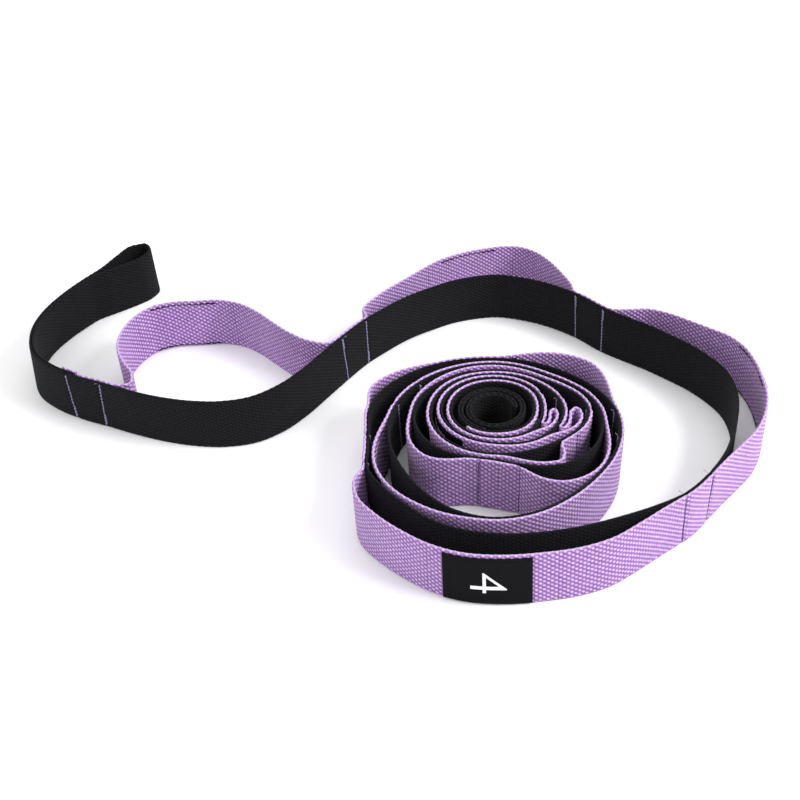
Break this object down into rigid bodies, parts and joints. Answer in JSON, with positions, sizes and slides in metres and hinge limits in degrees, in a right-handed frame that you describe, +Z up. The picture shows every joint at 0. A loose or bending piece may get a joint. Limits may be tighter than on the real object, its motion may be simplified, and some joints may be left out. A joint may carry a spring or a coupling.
{
  "type": "stretching strap",
  "caption": "Stretching strap standing on edge: a base webbing with a row of sewn-on hand and foot loops, partly rolled into a coil.",
  "frame": {"origin": "middle of the outline seen from above, on the surface that the strap stands on", "axes": "+Z up, across the webbing's width; +X to the right and +Y away from the front of the coil"},
  "size_m": [0.4971, 0.3363, 0.0381],
  "materials": {
    "base_webbing": "matt tight weave",
    "loop_webbing": "coarse cotton weave",
    "label": "smooth woven tape",
    "label_thread": "sewing thread",
    "cross_thread": "sewing thread"
  },
  "bodies": {
    "coil": {"base_webbing_10": "base_webbing", "base_webbing_11": "base_webbing", "base_webbing_5": "base_webbing", "base_webbing_6": "base_webbing", "base_webbing_7": "base_webbing", "base_webbing_8": "base_webbing", "base_webbing_9": "base_webbing", "cross_stitching_coil": "cross_thread", "cross_stitching_end_2": "cross_thread", "end_loop_2": "base_webbing", "label_10": "label", "label_11": "label", "label_5": "label", "label_6": "label", "label_7": "label", "label_8": "label", "label_9": "label", "label_stitching_coil": "label_thread", "loop_webbing_10": "loop_webbing", "loop_webbing_11": "loop_webbing", "loop_webbing_5": "loop_webbing", "loop_webbing_6": "loop_webbing", "loop_webbing_7": "loop_webbing", "loop_webbing_8": "loop_webbing", "loop_webbing_9": "loop_webbing"},
    "span_4": {"base_webbing_4": "base_webbing", "cross_stitching_4": "cross_thread", "loop_webbing_4_first_run": "loop_webbing", "loop_webbing_4_second_run": "loop_webbing"},
    "span_3": {"base_webbing_3": "base_webbing", "cross_stitching_3": "cross_thread", "loop_webbing_3_first_run": "loop_webbing", "loop_webbing_3_second_run": "loop_webbing"},
    "span_2": {"base_webbing_2": "base_webbing", "cross_stitching_2": "cross_thread", "loop_webbing_2_first_run": "loop_webbing", "loop_webbing_2_second_run": "loop_webbing"},
    "span_1": {"base_webbing_1": "base_webbing", "cross_stitching_1": "cross_thread", "loop_webbing_1_first_run": "loop_webbing", "loop_webbing_1_second_run": "loop_webbing"},
    "free_end": {"cross_stitching_end_1": "cross_thread", "end_loop_1": "base_webbing", "loop_webbing_tail": "loop_webbing"},
    "grip_1": {"label_1": "label", "label_stitching_1": "label_thread", "loop_webbing_1_grip": "loop_webbing"},
    "grip_2": {"label_2": "label", "label_stitching_2": "label_thread", "loop_webbing_2_grip": "loop_webbing"},
    "grip_3": {"label_3": "label", "label_stitching_3": "label_thread", "loop_webbing_3_grip": "loop_webbing"},
    "grip_4": {"label_4": "label", "label_stitching_4": "label_thread", "loop_webbing_4_grip": "loop_webbing"}
  },
  "joints": [
    {"name": "junction_5_bend", "type": "hinge", "parent": "coil", "child": "span_4", "pos_m": [-0.0063, -0.0767, 0.019], "axis": [0, 0, 1], "range_deg": [-25, 0]},
    {"name": "junction_4_bend", "type": "hinge", "parent": "span_4", "child": "span_3", "pos_m": [0.189, -0.1104, 0.019], "axis": [0, 0, 1], "range_deg": [-20, 12]},
    {"name": "junction_3_bend", "type": "hinge", "parent": "span_3", "child": "span_2", "pos_m": [0.1407, 0.086, 0.019], "axis": [0, 0, 1], "range_deg": [-20, 12]},
    {"name": "junction_2_bend", "type": "hinge", "parent": "span_2", "child": "span_1", "pos_m": [-0.0277, 0.0521, 0.019], "axis": [0, 0, 1], "range_deg": [-15, 15]},
    {"name": "junction_1_bend", "type": "hinge", "parent": "span_1", "child": "free_end", "pos_m": [-0.198, -0.0049, 0.019], "axis": [0, 0, 1], "range_deg": [-25, 25]},
    {"name": "loop_1_open", "type": "slide", "parent": "span_1", "child": "grip_1", "axis": [-0.086, 0.9963, 0], "range_m": [0, 0.012]},
    {"name": "loop_2_open", "type": "slide", "parent": "span_2", "child": "grip_2", "axis": [-0.4031, 0.9152, 0], "range_m": [0, 0.012]},
    {"name": "loop_3_open", "type": "slide", "parent": "span_3", "child": "grip_3", "axis": [0.9864, 0.1641, 0], "range_m": [0, 0.012]},
    {"name": "loop_4_open", "type": "slide", "parent": "span_4", "child": "grip_4", "axis": [-0.05, -0.9987, 0], "range_m": [0, 0.012]}
  ]
}
